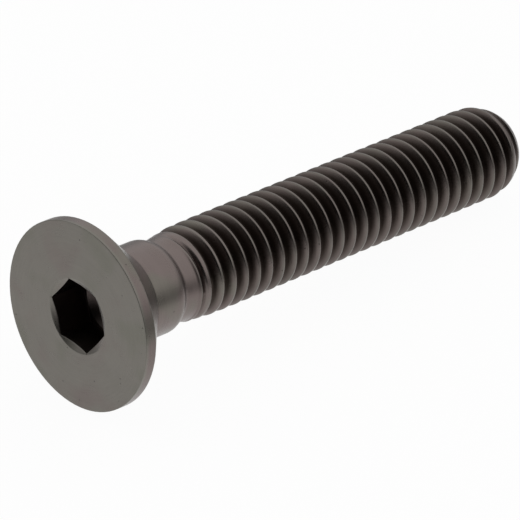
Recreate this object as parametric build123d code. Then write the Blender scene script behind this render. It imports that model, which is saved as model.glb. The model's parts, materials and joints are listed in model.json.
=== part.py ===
"""Countersunk socket screw with a plain shoulder, a relieved neck and a rolled right-hand thread.

It is one solid, turned and rolled from one bar. It is modelled upright, with the face of its head
at z = 0 and its point at +Z, and then laid down on the rim of the head and the last turns of the
thread, with the head towards -X. The origin is under the middle of its bounding box.
"""

import os
from math import atan2, ceil, cos, degrees, pi, radians, sin, sqrt, tan

from build123d import *

# Head: a flat face, a short straight rim and a conical seat.
head_diameter = 11.84
rim_height = 0.75
seat_angle = 90.0
face_edge_radius = 0.05
rim_edge_radius = 0.06

# Hexagon socket, broached into a drilled hole, with a countersunk mouth.
socket_across_flats = 4.0
socket_depth = 2.5
mouth_diameter = 4.72
mouth_angle = 120.0
drill_diameter = 3.8
drill_angle = 120.0

# Plain shoulder under the head, and the slope from it down to the relieved neck.
shoulder_diameter = 5.87
shoulder_length = 2.2
shoulder_edge_radius = 0.7
seat_fillet_radius = 0.12
neck_diameter = 5.06
neck_slope_length = 0.45
neck_fillet_radius = 0.6

# Flare from the neck to the thread. The groove starts on the flare, down a short cone to its root.
flare_diameter = 5.736
flare_length = 2.35
fade_offset = 1.07
fade_length = 0.45

# Thread. The crests rise to their full height over the crest rise.
thread_diameter = 5.82
pitch = 1.0
thread_angle = 60.0
crest_share = 0.125
groove_depth_share = 0.6134
crest_rise_length = 2.0

# Overall length, and the rounded point.
length = 35.15
point_length = 2.2
point_radius = 3.3

# How the screw has rolled, read on the line that faces the floor: how far behind the face a crest
# crosses that line, and how far a corner of the socket is turned from it.
crest_to_face = 9.37
socket_turn = 36.4

# How the surfaces are cut: room left over the crests, past the face, and spans in one helical turn.
crest_clearance = 0.02
cutter_overrun = 0.5
spans_per_turn = 16

head_radius = head_diameter / 2
mouth_radius = mouth_diameter / 2
drill_radius = drill_diameter / 2
shoulder_radius = shoulder_diameter / 2
neck_radius = neck_diameter / 2
flare_radius = flare_diameter / 2
thread_radius = thread_diameter / 2
groove_depth = groove_depth_share * pitch
root_radius = thread_radius - groove_depth
clear_radius = thread_radius + crest_clearance

# Stations along the axis, from the face of the head.
seat_end = rim_height + (head_radius - shoulder_radius) / tan(radians(seat_angle / 2))
shoulder_end = seat_end + shoulder_length
neck_start = shoulder_end + neck_slope_length
flare_end = neck_start + flare_length
fade_start = neck_start + fade_offset
fade_end = fade_start + fade_length
point_start = length - point_length

# The flare where the groove starts.
flare_slope = (flare_radius - neck_radius) / flare_length
fade_radius = neck_radius + flare_slope * fade_offset


def turned(edges):
    """Revolve a closed outline, drawn as (radius, height), about the screw's axis."""
    return revolve(Plane.XZ * make_face(edges), Axis.Z)


def core():
    """Head, shoulder, neck and the start of the flare, with the cone that leads down to the root."""
    fade_slope = (fade_radius - root_radius) / fade_length
    core_end = fade_end + pitch
    core_end_radius = root_radius - fade_slope * pitch
    corners = [
        (head_radius, 0, face_edge_radius),
        (head_radius, rim_height, rim_edge_radius),
        (shoulder_radius, seat_end, seat_fillet_radius),
        (shoulder_radius, shoulder_end, shoulder_edge_radius),
        (neck_radius, neck_start, neck_fillet_radius),
        (fade_radius, fade_start, 0),
        (core_end_radius, core_end, 0),
    ]
    points = [(0, 0)] + [corner[:2] for corner in corners] + [(0, core_end)]
    side = FilletPolyline(*points, radius=[corner[2] for corner in corners])
    return turned([side, Line((0, core_end), (0, 0))])


def crest_envelope():
    """All that the crests may reach: the flare, their full height and the rounded point."""

    def point_at(height):
        """The point's rounded outline, level with the crests where it starts."""
        drop = point_radius - sqrt(point_radius**2 - (height - point_start) ** 2)
        return (clear_radius - drop, height)

    side = Polyline(
        (0, fade_start),
        (fade_radius, fade_start),
        (flare_radius, flare_end),
        (clear_radius, flare_end + crest_rise_length),
        (clear_radius, point_start),
    )
    point = ThreePointArc(*[point_at(point_start + point_length * share) for share in (0, 0.5, 1)])
    end = Polyline(point_at(length), (0, length), (0, fade_start))
    return turned([side, point, end])


def thread():
    """Right-hand thread at full depth, long enough to be trimmed at both ends.

    Each turn is four ruled strips between helical edges: crest, flank, root and flank. At both
    ends a ramp from the axis to the last edge, and the profile itself, close the solid.
    """
    crest = crest_share * pitch
    flank = groove_depth * tan(radians(thread_angle / 2))
    profile = [
        (thread_radius, 0),
        (thread_radius, crest),
        (root_radius, crest + flank),
        (root_radius, pitch - flank),
        (thread_radius, pitch),
    ]
    crest_start = crest_to_face - crest / 2
    start = crest_start - pitch * ceil((crest_start + pitch - fade_start) / pitch)
    turns = ceil((length - start) / pitch)

    def helical_edge(radius, height, turn):
        """One turn of a helix that starts at the height given, turned from the +X side."""
        shares = [span / spans_per_turn for span in range(spans_per_turn + 1)]
        base = start + height + pitch * turn
        points = [
            (radius * cos(2 * pi * share), radius * sin(2 * pi * share), base + pitch * share)
            for share in shares
        ]
        run = (0, 2 * pi * radius, pitch)
        return Edge.make_spline(points, tangents=[run, run], parameters=shares, scale=False)

    def end_faces(turn, edge, base):
        """The ramp and the axial face that close the thread where a turn starts or ends."""
        axis_edge = Edge.make_line((0, 0, base), (0, 0, base + pitch))
        section = [(radius, 0, base + height) for radius, height in profile]
        outline = [(0, 0, base), *section, (0, 0, base + pitch)]
        ramp = Face.make_surface_from_curves(helical_edge(*edge, turn), axis_edge)
        return [ramp, Face(Wire.make_polygon(outline, close=True))]

    faces = []
    for turn in range(turns):
        edges = [helical_edge(radius, height, turn) for radius, height in profile]
        faces += [Face.make_surface_from_curves(a, b) for a, b in zip(edges, edges[1:])]
    faces += end_faces(0, profile[0], start)
    faces += end_faces(turns - 1, profile[-1], start + pitch * turns)
    return Solid(Shell(faces))


def socket():
    """Cutter for the hexagon, the drill's pointed floor and the countersunk mouth."""
    hexagon = RegularPolygon(socket_across_flats / 2, 6, major_radius=False, rotation=socket_turn)
    broach = extrude(Pos(0, 0, -cutter_overrun) * hexagon, cutter_overrun + socket_depth)
    drill_depth = socket_depth + drill_radius / tan(radians(drill_angle / 2))
    drill_outline = [(0, 0), (drill_radius, 0), (drill_radius, socket_depth), (0, drill_depth)]
    mouth_slope = tan(radians(mouth_angle / 2))
    wide_radius = mouth_radius + cutter_overrun * mouth_slope
    mouth_depth = mouth_radius / mouth_slope
    mouth_outline = [(0, -cutter_overrun), (wide_radius, -cutter_overrun), (0, mouth_depth)]
    drill = turned(Polyline(*drill_outline, close=True))
    return broach + drill + turned(Polyline(*mouth_outline, close=True))


def laid_down(upright):
    """Lay the upright screw on the rim of its head and the last full crest of its thread."""
    point_entry = point_start + sqrt(point_radius**2 - (point_radius - crest_clearance) ** 2)
    tilt = atan2(head_radius - thread_radius, point_entry - rim_height)
    lift = rim_height * sin(tilt) + head_radius * cos(tilt)
    lying = Pos(0, 0, lift) * Rot(0, 90 + degrees(tilt), 0) * upright
    return Pos(-lying.bounding_box().center().X, 0, 0) * lying


threaded_shank = thread() & crest_envelope()
screw = laid_down(core() + threaded_shank - socket()).solid()

os.makedirs("parts", exist_ok=True)
export_step(screw, "parts/screw.step")
print("screw", round(screw.volume, 2), "mm3", screw.bounding_box())
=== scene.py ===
import json
from bisect import bisect_right
from math import ceil, cos, degrees, exp, pi, radians, sin, sqrt, tan

import bpy
from mathutils import Matrix, Vector


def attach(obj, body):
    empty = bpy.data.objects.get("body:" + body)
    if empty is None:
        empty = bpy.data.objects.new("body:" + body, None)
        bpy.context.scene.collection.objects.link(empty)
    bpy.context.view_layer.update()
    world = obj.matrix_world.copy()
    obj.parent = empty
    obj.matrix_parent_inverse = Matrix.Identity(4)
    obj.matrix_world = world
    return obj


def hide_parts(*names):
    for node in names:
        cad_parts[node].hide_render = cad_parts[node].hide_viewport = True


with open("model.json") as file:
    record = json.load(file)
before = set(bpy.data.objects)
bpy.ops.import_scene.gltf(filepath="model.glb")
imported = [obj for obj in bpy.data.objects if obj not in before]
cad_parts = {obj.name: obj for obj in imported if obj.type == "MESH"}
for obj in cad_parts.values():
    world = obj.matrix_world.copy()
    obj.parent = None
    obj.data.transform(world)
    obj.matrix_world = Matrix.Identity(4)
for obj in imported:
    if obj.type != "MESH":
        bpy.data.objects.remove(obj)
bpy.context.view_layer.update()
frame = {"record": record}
mm = 0.001

# the screw's body, in millimetres from the face of its head
screw = {
    "headRadius": 5.92,
    "rimHeight": 0.75,
    "faceEdge": 0.025,         # rounding of the rim on the face's side
    "rimEdge": 0.07,           # and on the seat's
    "seatSlope": 45,           # half the seat's angle
    "seatFillet": 0.06,
    "shoulderRadius": 2.935,
    "shoulderLength": 2.2,
    "shoulderEdge": 0.85,
    "neckRadius": 2.53,
    "neckSlope": 0.45,
    "neckFillet": 0.35,
    "flareRadius": 2.868,
    "flareLength": 2.35,
    "plainFlare": 0.6,         # the flare before the thread's rows start
    "grooveStart": 7.78,       # next crest's station where the groove starts,
    "grooveDeep": 8.02,        # where it is as deep as its lower wall lets it be
    "grooveFull": 9.0,         # and where it has its full profile
    "grooveEdge": 0.565,       # from the next crest back to the groove's edge at its start
    "grooveFullEdge": 1.1,     # and to the same edge where the groove is full, in pitches
    "grooveSlope": 1.0,
    "crestRise": 2.0,
    "threadRadius": 2.91,
    "crestClearance": 0.02,
    "pitch": 1.0,
    "flankAngle": 30,
    "crestWidth": 0.125,
    "crestEdge": 0.045,        # how round the crests are
    "rootRound": 0.14,         # and the roots
    "grooveDepth": 0.6134,
    "crestToFace": 9.37,       # where a crest crosses the line that faces the floor
    "lipHeight": 0.07,         # metal raised beside the groove's start
    "lipWidth": 0.1,
    "length": 35.15,
    "pointLength": 2.2,
    "pointRadius": 3.3,
    "pointEdge": 0.08,
    "pointRows": 0.2,          # how far back from the end the point's own rows start
    "guard": 0.06,             # flat kept beside a rounded edge, so that it shades flat
    "endShare": 0.2,           # where the head's last stretch gets one more place
    "rowLength": 0.2,          # longest step between the thread's rows
    "rowAngle": 30,            # and the turn in one step round its edges
    "sharpAngle": 50,          # faces that meet at more than this aren't shaded as one
    "columns": 84,             # round the axis, a multiple of six
}

socket = {
    "acrossFlats": 4.0,
    "turn": 36.4,              # a corner, in degrees from the line that faces the floor
    "depth": 2.5,
    "floorEdge": 0.03,
    "mouthRadius": 2.36,
    "mouthSlope": 68,          # half the countersink's angle
    "mouthEdge": 0.03,
    "flatEdge": 0.04,          # where the countersink meets the flats
    "drillRadius": 1.9,
    "drillSlope": 60,
    "dirtAndShade": 0.3,            # how much dirt and painted shade lies inside, against the thread's roots
    "dirtAndShadeFrom": 0.8,        # how deep it starts
    "dirtAndShadeTo": 2.2,          # and is full
}


# how far from a corner the flat part gets a place of its own, which keeps its shading flat
def guardPlace(other, corner, trim, guard):
    room = (Vector(other[:2]) - Vector(corner[:2])).length - trim
    return trim + min(guard, room / 3)


# a line through corners (x, y, rounding), with each rounded corner as a few short steps
def roundedLine(corners, guard=0.0, stepAngle=20):
    line = [Vector(corners[0][:2])]
    for before, corner, after in zip(corners, corners[1:], corners[2:]):
        at = Vector(corner[:2])
        back = (Vector(before[:2]) - at).normalized()
        on = (Vector(after[:2]) - at).normalized()
        half = back.angle(on) / 2
        turn = pi - 2 * half
        trim = corner[2] / tan(half)
        middle = at + (back + on).normalized() * corner[2] / sin(half)
        first = at + back * trim - middle
        last = at + on * trim - middle
        steps = max(2, ceil(degrees(turn) / stepAngle))
        if guard:
            line.append(at + back * guardPlace(before, corner, trim, guard))
        for step in range(steps + 1):
            ahead = turn * step / steps
            line.append(middle + (first * sin(turn - ahead) + last * sin(ahead)) / sin(turn))
        if guard:
            line.append(at + on * guardPlace(after, corner, trim, guard))
    line.append(Vector(corners[-1][:2]))
    return line


# the same line with no step longer than the one given
def dividedLine(line, longest):
    divided = [line[0]]
    for a, b in zip(line, line[1:]):
        parts = ceil((b - a).length / longest)
        divided += [a.lerp(b, part / parts) for part in range(1, parts + 1)]
    return divided


def heightReader(line):
    stations = [point[0] for point in line]

    def heightAt(x):
        upper = min(max(bisect_right(stations, x), 1), len(line) - 1)
        (x0, y0), (x1, y1) = line[upper - 1], line[upper]
        return y0 + (y1 - y0) * (x - x0) / (x1 - x0)

    return heightAt


# minimum and maximum that round the edge where two surfaces meet
def softMin(a, b, width=0.05):
    near = max(0.0, 1 - abs(a - b) / width)
    return min(a, b) - near * near * width / 4


def softMax(a, b, width=0.05):
    return -softMin(-a, -b, width)


def between(value, low, high):
    share = min(max((value - low) / (high - low), 0.0), 1.0)
    return share * share * (3 - 2 * share)


class ScrewShape:
    def __init__(self, screw, socket):
        self.__dict__.update(screw)
        self.socket = socket
        seatDepth = (self.headRadius - self.shoulderRadius) / tan(radians(self.seatSlope))
        self.seatEnd = self.rimHeight + seatDepth
        self.shoulderEnd = self.seatEnd + self.shoulderLength
        self.neckStart = self.shoulderEnd + self.neckSlope
        self.flareEnd = self.neckStart + self.flareLength
        self.plainEnd = self.neckStart + self.plainFlare
        self.pointStart = self.length - self.pointLength
        self.clearRadius = self.threadRadius + self.crestClearance
        self.envelopeAt = heightReader([
            (self.neckStart, self.neckRadius),
            (self.flareEnd, self.flareRadius),
            (self.flareEnd + self.crestRise, self.clearRadius),
            (self.pointStart, self.clearRadius),
        ])
        flank = self.grooveDepth * tan(radians(self.flankAngle))
        crestHalf = self.crestWidth / 2
        self.threadLine = dividedLine(roundedLine([
            (0, 0),
            (crestHalf, 0, self.crestEdge),
            (crestHalf + flank, -self.grooveDepth, self.rootRound),
            (self.pitch - crestHalf - flank, -self.grooveDepth, self.rootRound),
            (self.pitch - crestHalf, 0, self.crestEdge),
            (self.pitch, 0),
        ], stepAngle=self.rowAngle), self.rowLength)
        self.depthAt = heightReader(self.threadLine)

    # how far out the crests may reach at a station
    def reach(self, station):
        if station < self.pointStart:
            return self.envelopeAt(station)
        drop = self.pointRadius - sqrt(self.pointRadius**2 - (station - self.pointStart) ** 2)
        return self.clearRadius - drop

    # the skin's radius at a station and at so many turns round the axis
    def skinRadius(self, station, turns):
        offset = (station - self.crestToFace - self.pitch * turns) % self.pitch
        groove = self.threadRadius + self.depthAt(offset)
        reach = self.reach(station)
        nextCrest = station - offset + self.pitch
        if nextCrest > self.grooveFull:
            return softMin(groove, reach)
        # the groove starts narrow and shallow, with metal pushed up beside it
        full = between(nextCrest, self.grooveDeep, self.grooveFull)
        started = between(nextCrest, self.grooveStart, self.grooveDeep)
        widening = self.grooveFullEdge * self.pitch - self.grooveEdge
        edge = nextCrest - self.grooveEdge - widening * full
        wall = self.reach(edge) - (station - edge) * (self.grooveSlope + full)
        lipTop = edge - self.lipWidth / 3
        lip = exp(-(((station - lipTop) / self.lipWidth) ** 2))
        cut = softMax(reach - softMax(groove, wall), 0.0)
        return reach - cut * started + self.lipHeight * lip * started * (1 - full)

    # the hexagon's radius in a direction, in turns round the axis
    def hexagonRadius(self, turns):
        side = 360 / 6
        fromFlat = (360 * turns - self.socket["turn"]) % side - side / 2
        return self.socket["acrossFlats"] / 2 / cos(radians(fromFlat))

    # from the bottom of the drilled hole, up the socket, over the head and down to the neck
    def headLine(self, turns):
        s = self.socket
        flatRadius = self.hexagonRadius(turns)
        mouthDepth = (s["mouthRadius"] - flatRadius) / tan(radians(s["mouthSlope"]))
        line = roundedLine([
            (0, s["depth"] + s["drillRadius"] / tan(radians(s["drillSlope"]))),
            (s["drillRadius"], s["depth"], s["floorEdge"]),
            (flatRadius, s["depth"], s["floorEdge"]),
            (flatRadius, mouthDepth, s["flatEdge"]),
            (s["mouthRadius"], 0, s["mouthEdge"]),
            (self.headRadius, 0, self.faceEdge),
            (self.headRadius, self.rimHeight, self.rimEdge),
            (self.shoulderRadius, self.seatEnd, self.seatFillet),
            (self.shoulderRadius, self.shoulderEnd, self.shoulderEdge),
            (self.neckRadius, self.neckStart, self.neckFillet),
            (self.reach(self.plainEnd), self.plainEnd),
        ], guard=self.guard)
        # one more place at the end, so the thread's start doesn't shade the flare
        line.insert(-1, line[-1].lerp(line[-2], self.endShare))
        return line

    def pointLine(self):
        rim = self.reach(self.length)
        before = self.length - self.pointRows
        return roundedLine([
            (self.reach(before), before),
            (rim, self.length, self.pointEdge),
            (0, self.length),
        ], guard=self.guard)

    # how deep a place lies in the groove or the socket, from 0 to 1
    def depthOf(self, label, radius, station):
        if label[0] == "thread":
            return min(max((self.reach(station) - radius) / self.grooveDepth, 0.0), 1.0)
        s = self.socket
        # the socket's depth counts only in part towards its dirt and painted shade
        if label[0] == "head" and radius < s["mouthRadius"]:
            return s["dirtAndShade"] * between(station, s["dirtAndShadeFrom"], s["dirtAndShadeTo"])
        return 0.0

    # one line of the skin from the socket's bottom to the point's middle, as (row, radius, station)
    # the thread's rows follow its helix, so a row moves up one pitch in a turn
    def skinColumn(self, turns):
        head = self.headLine(turns)
        point = self.pointLine()
        margin = 0.05
        column = [(("head", i), place[0], place[1]) for i, place in enumerate(head)]
        rows = self.threadLine[:-1]
        base = self.crestToFace + self.pitch * turns
        firstTurn = int((head[-1][1] - base) // self.pitch)
        lastTurn = int((self.length - base) // self.pitch)
        for turn in range(firstTurn, lastTurn + 1):
            for i, row in enumerate(rows):
                station = base + turn * self.pitch + row[0]
                if head[-1][1] + margin < station < point[0][1] - margin:
                    label = ("thread", turn * len(rows) + i)
                    column.append((label, self.skinRadius(station, turns), station))
        column += [(("point", i), place[0], place[1]) for i, place in enumerate(point)]
        return column


# faces between two neighbouring columns: a quad where both have the next row, else a triangle
def zipColumns(left, right, faces):
    i, j = 0, 0
    while i < len(left) - 1 or j < len(right) - 1:
        if j == len(right) - 1 or i == len(left) - 1:
            stepLeft, stepRight = i < len(left) - 1, j < len(right) - 1
        elif left[i + 1][0] == right[j + 1][0]:
            stepLeft = stepRight = True
        else:
            stepLeft = left[i + 1][1] <= right[j + 1][1]
            stepRight = not stepLeft
        corners = [right[j][2]]
        if stepRight:
            corners.append(right[j + 1][2])
        if stepLeft:
            corners.append(left[i + 1][2])
        corners.append(left[i][2])
        i += stepLeft
        j += stepRight
        corners = list(dict.fromkeys(corners))
        if len(corners) > 2:
            faces.append(corners)


# how sharply a column turns at each place: up to 1 where it stands out, down to -1 in a hollow
# sharp is the turn in degrees per millimetre that counts as a full edge, reach how far it marks
def edgesOf(column, reach=0.04, sharp=600, shortest=0.01, neighbours=3):
    places = [Vector((radius, station)) for _, radius, station in column]
    turns = [0.0]
    for before, here, after in zip(places, places[1:], places[2:]):
        turn = -degrees((here - before).angle_signed(after - here, 0.0))
        turns.append(turn / max((after - before).length / 2, shortest))
    turns.append(0.0)
    edges = []
    for i, here in enumerate(places):
        near = [turns[i]]
        for j in range(max(i - neighbours, 0), min(i + neighbours + 1, len(places))):
            if (places[j] - here).length < reach:
                near.append(turns[j])
        sharpest = max(near) if max(near) > -min(near) else min(near)
        edges.append(min(max(sharpest / sharp, -1.0), 1.0))
    return edges


def screwMesh(shape):
    vertices, columns, edges, depths = [], [], [], []
    ends = {}
    onAxis = 1e-6

    # the socket's bottom and the point's middle are single points, shared by all columns
    def vertexAt(label, radius, station, turns):
        if radius < onAxis:
            if label in ends:
                return ends[label]
            ends[label] = len(vertices)
        angle = 2 * pi * turns
        vertices.append((radius * cos(angle), radius * sin(angle), station))
        depths.append(shape.depthOf(label, radius, station))
        return len(vertices) - 1

    count = shape.columns
    for c in range(count):
        turns = c / count + shape.socket["turn"] / 360
        column = shape.skinColumn(turns)
        columns.append([])
        for (label, radius, station), edge in zip(column, edgesOf(column)):
            columns[-1].append((label, station, vertexAt(label, radius, station, turns)))
            if len(vertices) > len(edges):
                edges.append(edge)
    faces = []
    for c in range(count - 1):
        zipColumns(columns[c], columns[c + 1], faces)
    # round the axis once, and the same row is one pitch further on
    rows = len(shape.threadLine) - 1
    closing = [
        ((label[0], label[1] - rows) if label[0] == "thread" else label, station, index)
        for label, station, index in columns[0]
    ]
    zipColumns(columns[-1], closing, faces)
    mesh = bpy.data.meshes.new("screwBody")
    mesh.from_pydata(vertices, [], faces)
    mesh.attributes.new("edge", "FLOAT", "POINT").data.foreach_set("value", edges)
    mesh.attributes.new("depth", "FLOAT", "POINT").data.foreach_set("value", depths)
    mesh.shade_smooth()
    mesh.set_sharp_from_angle(angle=radians(shape.sharpAngle))
    return mesh


# from millimetres along and across the screw to its place in the frame
def screwPlace(record):
    # the socket's mount is in the middle of the head's face, and its axis points out of it
    mount = next(m for m in record["mounts"] if m["name"] == "hex_socket")
    along = -Vector(mount["axis"]).normalized()
    across = Vector((0, 1, 0))
    axes = Matrix((across.cross(along), across, along)).transposed()
    return Matrix.Translation(mount["pos_m"]) @ axes.to_4x4() @ Matrix.Scale(mm, 4)


def makeScrew():
    mesh = screwMesh(ScrewShape(screw, socket))
    mesh.transform(screwPlace(frame["record"]))
    body = bpy.data.objects.new("screwBody", mesh)
    bpy.context.scene.collection.objects.link(body)
    return body


body = makeScrew()
print("screw:", len(body.data.vertices), "vertices,", len(body.data.polygons), "faces")
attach(body, "root")
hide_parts("screw")


# a node socket that maths can be written with: an expression adds its Math nodes
class Signal:
    def __init__(self, maker, socket):
        self.maker = maker
        self.socket = socket

    # another output of the same node
    def output(self, name):
        return Signal(self.maker, self.socket.node.outputs[name])

    def math(self, operation, first, second):
        return self.maker.add("ShaderNodeMath", {"operation": operation}, {0: first, 1: second})

    def __add__(self, other):
        return self.math("ADD", self, other)

    def __radd__(self, other):
        return self.math("ADD", other, self)

    def __sub__(self, other):
        return self.math("SUBTRACT", self, other)

    def __rsub__(self, other):
        return self.math("SUBTRACT", other, self)

    def __mul__(self, other):
        return self.math("MULTIPLY", self, other)

    def __rmul__(self, other):
        return self.math("MULTIPLY", other, self)


class Shader:
    def __init__(self, tree):
        self.tree = tree
        tree.nodes.clear()

    # any node: its type, its settings, what goes into its sockets and which output is wanted
    def add(self, kind, settings=None, values=None, output=0):
        node = self.tree.nodes.new(kind)
        for name, value in (settings or {}).items():
            setattr(node, name, value)
        for name, value in (values or {}).items():
            if isinstance(value, Signal):
                self.tree.links.new(value.socket, node.inputs[name])
            else:
                node.inputs[name].default_value = value
        return Signal(self, node.outputs[output]) if node.outputs else node

    # from 0 where the value is at low to 1 where it is at high
    def mask(self, value, low, high):
        return self.add("ShaderNodeMapRange", {"interpolation_type": "SMOOTHSTEP"}, {
            "Value": value,
            "From Min": low,
            "From Max": high,
        })

    def mix(self, factor, first, second):
        values = {0: factor}
        for slot, colour in ((6, first), (7, second)):
            values[slot] = colour if isinstance(colour, Signal) else (*colour, 1)
        return self.add("ShaderNodeMix", {"data_type": "RGBA"}, values, output=2)

    def noise(self, place, scale, detail=2.0, roughness=0.5):
        return self.add("ShaderNodeTexNoise", {}, {
            "Vector": place,
            "Scale": scale,
            "Detail": detail,
            "Roughness": roughness,
        })


# grey-brown steel, turned on the head and shoulder and rolled on the thread, with dirt and painted
# shade in the grooves, the socket and the creases
# patches, clouds, grain, turning and pits are per millimetre
# a pair with no note of its own says where its effect starts and where it is full
metal = {
    "grey": (0.181, 0.17, 0.152),
    "greyDepth": 0.3,          # how far from the face the grey has gone
    "brown": (0.168, 0.138, 0.13),
    "green": (0.156, 0.153, 0.128),
    "roughness": 0.31,
    "patches": 0.28,
    "brownPatches": (0.5, 0.75),
    "greenPatches": (0.48, 0.35),
    "patchShare": 0.6,
    "clouds": 0.8,
    "cloudShade": 0.5,         # share of each in the light and dark of the colour
    "cloudRoughness": 0.15,    # and in the roughness
    "grain": 16.0,
    "grainShade": 0.3,
    "grainRoughness": 0.2,
    "turning": 9.0,            # lines round the axis
    "turningShade": 0.4,
    "turningEnd": 8.87,        # station up to which the lines change along the screw
    "turningChange": (0.5, 0.35),  # and how much they change round it
    "shade": (0.75, 1.25),     # darkest and lightest
    "rolled": (0.135, 0.112, 0.104),
    "rolledStations": (9.87, 11.87),
    "rolledShare": 0.6,
    "worn": (0.16, 0.156, 0.137),
    "wornWhere": (0.3, 0.65),
    "wornShare": 0.6,
    # dirt in the thread's roots and the socket, darker the deeper it lies; it is painted shade there
    # as well
    "dirtAndShade": (0.034, 0.025, 0.02),
    "dirtAndShadeDepth": (0.1, 0.75),
    "dirtAndShadeUneven": 0.15,
    "dirtAndShadeShare": 0.85,
    "dirtAndShadeRoughness": 0.05,
    # concave creases get the same dark colour: dirt and painted shade
    "hollowWhere": (0.2, 0.5),
    "hollowShare": 0.35,
    "pit": (0.03, 0.026, 0.022),
    "pits": 1.2,
    "pitRadius": 0.06,
    "pitShare": 0.8,
    "pitHeight": 2.0,          # against the grain and the lines
    "relief": 0.006,           # height of the grain and the lines
}


def makeMetal():
    material = bpy.data.materials.new("satinMetal")
    material.use_nodes = True
    shader = Shader(material.node_tree)
    # millimetres in the screw's own axes, with its length along Z
    placement = screwPlace(frame["record"])
    place = shader.add("ShaderNodeMapping", {"vector_type": "TEXTURE"}, {
        "Vector": shader.add("ShaderNodeTexCoord", output="Object"),
        "Location": placement.to_translation(),
        "Rotation": placement.to_euler(),
        "Scale": placement.to_scale(),
    })
    axes = shader.add("ShaderNodeSeparateXYZ", {}, {0: place})
    station = axes.output("Z")
    across = shader.add("ShaderNodeVectorMath", {"operation": "MULTIPLY"}, {
        0: place,
        1: (1, 1, 0),
    })
    radius = shader.add("ShaderNodeVectorMath", {"operation": "LENGTH"}, {0: across}, output="Value")
    turned = station.math("MINIMUM", station, metal["turningEnd"])
    changeX, changeY = metal["turningChange"]
    ringPlace = shader.add("ShaderNodeCombineXYZ", {}, {
        "X": radius * metal["turning"],
        "Y": turned * metal["turning"],
        "Z": axes.output("X") * changeX + axes.output("Y") * changeY,
    })
    rings = shader.noise(ringPlace, 1.0, detail=3.0, roughness=0.6)
    grain = shader.noise(place, metal["grain"], detail=4.0, roughness=0.6)
    patches = shader.noise(place, metal["patches"])
    clouds = shader.noise(place, metal["clouds"], detail=3.0)
    cells = shader.add("ShaderNodeTexVoronoi", {}, {"Vector": place, "Scale": metal["pits"]})
    pitEdge = metal["pitRadius"] * metal["pits"]
    pits = shader.mask(cells, pitEdge, pitEdge / 3)
    depth = shader.add("ShaderNodeAttribute", {"attribute_name": "depth"}, output="Fac")
    edge = shader.add("ShaderNodeAttribute", {"attribute_name": "edge"}, output="Fac")
    uneven = grain * 0.5 + clouds * 0.5
    worn = shader.mask(edge, 0.0, 1.0) * shader.mask(uneven, *metal["wornWhere"])
    # concave creases darker, in patches: dirt and painted shade
    hollow = shader.mask(edge, 0.0, -1.0) * shader.mask(clouds, *metal["hollowWhere"])
    rolled = shader.mask(station, *metal["rolledStations"])
    # dirt and painted shade: darker the deeper a place lies in a groove or the socket
    dirtAndShade = shader.mask(depth + clouds * metal["dirtAndShadeUneven"], *metal["dirtAndShadeDepth"])

    brown = shader.mask(patches, *metal["brownPatches"]) * metal["patchShare"]
    green = shader.mask(patches, *metal["greenPatches"]) * metal["patchShare"]
    colour = shader.mix(shader.mask(station, 0.0, metal["greyDepth"]), metal["grey"], metal["brown"])
    colour = shader.mix(brown, colour, metal["brown"])
    colour = shader.mix(green, colour, metal["green"])
    light = clouds * metal["cloudShade"] + grain * metal["grainShade"] + rings * metal["turningShade"]
    darkest, lightest = metal["shade"]
    colour = shader.add("ShaderNodeMix", {"data_type": "RGBA", "blend_type": "MULTIPLY"}, {
        0: 1.0,
        6: colour,
        7: shader.mix(light, (darkest,) * 3, (lightest,) * 3),
    }, output=2)
    colour = shader.mix(rolled * metal["rolledShare"], colour, metal["rolled"])
    colour = shader.mix(worn * metal["wornShare"], colour, metal["worn"])
    # dirt and painted shade in the grooves and the socket
    colour = shader.mix(dirtAndShade * metal["dirtAndShadeShare"], colour, metal["dirtAndShade"])
    # dirt and painted shade in the concave creases
    colour = shader.mix(hollow * metal["hollowShare"], colour, metal["dirtAndShade"])
    colour = shader.mix(pits * metal["pitShare"], colour, metal["pit"])
    roughness = metal["roughness"] + (grain - 0.5) * metal["grainRoughness"]
    roughness = roughness + (clouds - 0.5) * metal["cloudRoughness"]
    roughness = roughness + dirtAndShade * metal["dirtAndShadeRoughness"]
    bump = shader.add("ShaderNodeBump", {}, {
        "Strength": 1.0,
        "Distance": metal["relief"] * mm,
        "Height": rings + grain - pits * metal["pitHeight"],
    })
    surface = shader.add("ShaderNodeBsdfPrincipled", {}, {
        "Base Color": colour,
        "Metallic": 1.0,
        "Roughness": roughness,
        "Normal": bump,
    })
    shader.add("ShaderNodeOutputMaterial", {}, {"Surface": surface})
    return material


body.data.materials.append(makeMetal())
print("metal: turned, rolled and worn")

# a white floor in an even light that is dimmer on one side and near the horizon
studio = {
    "floorSize": 0.14,         # like a small white table
    "floorColour": (0.95, 0.95, 0.95),
    "floorGlow": 0.96,         # share of plain white where the floor is seen or reflected
    "tableColour": (0.3, 0.3, 0.3),
    "grazingFrom": 0.62,       # how shallow a reflection starts to see the table
    "grazingTo": 0.8,
    "dimSide": (-0.85, -0.5, 0.2),
    "dimFrom": 0.2,            # how far the dim side reaches, as a cosine
    "dimTo": 0.82,
    "dim": 0.01,
    "bright": 1.0,
    "horizon": 0.45,           # share of the light that comes from level with the table
    "horizonTo": 0.35,         # how high that reaches, as a sine
}


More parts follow.
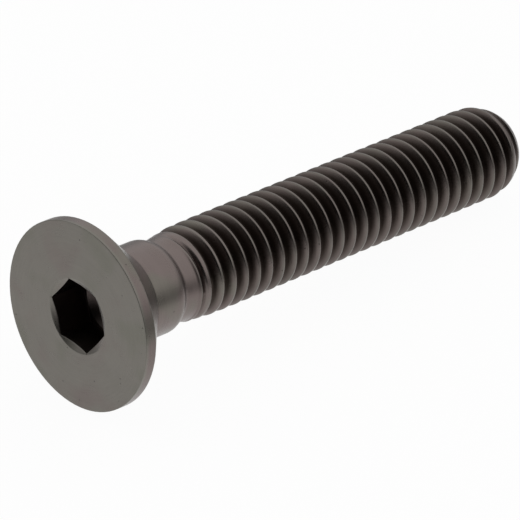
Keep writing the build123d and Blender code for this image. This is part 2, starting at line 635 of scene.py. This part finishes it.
def makeFloor():
    half = studio["floorSize"] / 2
    mesh = bpy.data.meshes.new("floor")
    corners = [(-half, -half, 0), (half, -half, 0), (half, half, 0), (-half, half, 0)]
    mesh.from_pydata(corners, [], [(0, 1, 2, 3)])
    floor = bpy.data.objects.new("floor", mesh)
    bpy.context.scene.collection.objects.link(floor)
    material = bpy.data.materials.new("paper")
    material.use_nodes = True
    shader = Shader(material.node_tree)
    seen = shader.add("ShaderNodeLightPath", output="Is Camera Ray")
    reflected = shader.add("ShaderNodeLightPath", output="Is Glossy Ray")
    through = shader.add("ShaderNodeLightPath", output="Is Transmission Ray")
    paper = shader.add("ShaderNodeBsdfDiffuse", {}, {"Color": (*studio["floorColour"], 1)})
    white = shader.add("ShaderNodeEmission", {}, {"Strength": 1.0})
    # a shallow reflection reaches past the white paper, to the dimmer part of the table
    dim = shader.add("ShaderNodeEmission", {}, {"Color": (*studio["tableColour"], 1), "Strength": 1.0})
    grazing = shader.add("ShaderNodeLayerWeight", {}, {"Blend": 0.5}, output="Facing")
    past = reflected * shader.mask(grazing, studio["grazingFrom"], studio["grazingTo"])
    shown = shader.add("ShaderNodeMixShader", {}, {0: past, 1: white, 2: dim})
    glow = (seen + reflected + through) * studio["floorGlow"]
    mixed = shader.add("ShaderNodeMixShader", {}, {0: glow, 1: paper, 2: shown})
    shader.add("ShaderNodeOutputMaterial", {}, {"Surface": mixed})
    mesh.materials.append(material)


def makeLight():
    world = bpy.data.worlds.new("studio")
    bpy.context.scene.world = world
    world.use_nodes = True
    shader = Shader(world.node_tree)
    direction = shader.add("ShaderNodeTexCoord", output="Generated")
    dimSide = Vector(studio["dimSide"]).normalized()
    toDim = shader.add("ShaderNodeVectorMath", {"operation": "DOT_PRODUCT"}, {
        0: direction,
        1: dimSide,
    }, output="Value")
    level = shader.add("ShaderNodeMapRange", {"interpolation_type": "SMOOTHSTEP"}, {
        "Value": toDim,
        "From Min": studio["dimFrom"],
        "From Max": studio["dimTo"],
        "To Min": studio["bright"],
        "To Max": studio["dim"],
    })
    height = shader.add("ShaderNodeSeparateXYZ", {}, {0: direction}, output="Z")
    low = shader.mask(height, studio["horizonTo"], 0.0) * (1 - studio["horizon"])
    seen = shader.add("ShaderNodeLightPath", output="Is Camera Ray")
    strength = seen + (1.0 - seen) * level * (1.0 - low)
    sky = shader.add("ShaderNodeBackground", {}, {"Color": (1, 1, 1, 1), "Strength": strength})
    shader.add("ShaderNodeOutputWorld", {}, {"Surface": sky})


makeFloor()
makeLight()
print("studio: white floor and even light")

# millimetres and degrees; the azimuth turns from -Y towards +X
camera = {
    "aim": (-1.47, 1.065, 2.316),
    "distance": 400,
    "azimuth": -43.88,
    "elevation": 32.775,
    "lens": 458.85,
    "sensor": 36,
}


def makeCamera():
    lens = bpy.data.cameras.new("camera")
    lens.lens = camera["lens"]
    lens.sensor_width = camera["sensor"]
    view = bpy.data.objects.new("camera", lens)
    bpy.context.scene.collection.objects.link(view)
    a, e = radians(camera["azimuth"]), radians(camera["elevation"])
    back = Vector((sin(a) * cos(e), -cos(a) * cos(e), sin(e)))
    view.location = (Vector(camera["aim"]) + back * camera["distance"]) * mm
    view.rotation_euler = (-back).to_track_quat("-Z", "Y").to_euler()
    bpy.context.scene.camera = view


makeCamera()
print("camera: set")
bpy.context.scene.view_settings.view_transform = "Standard"
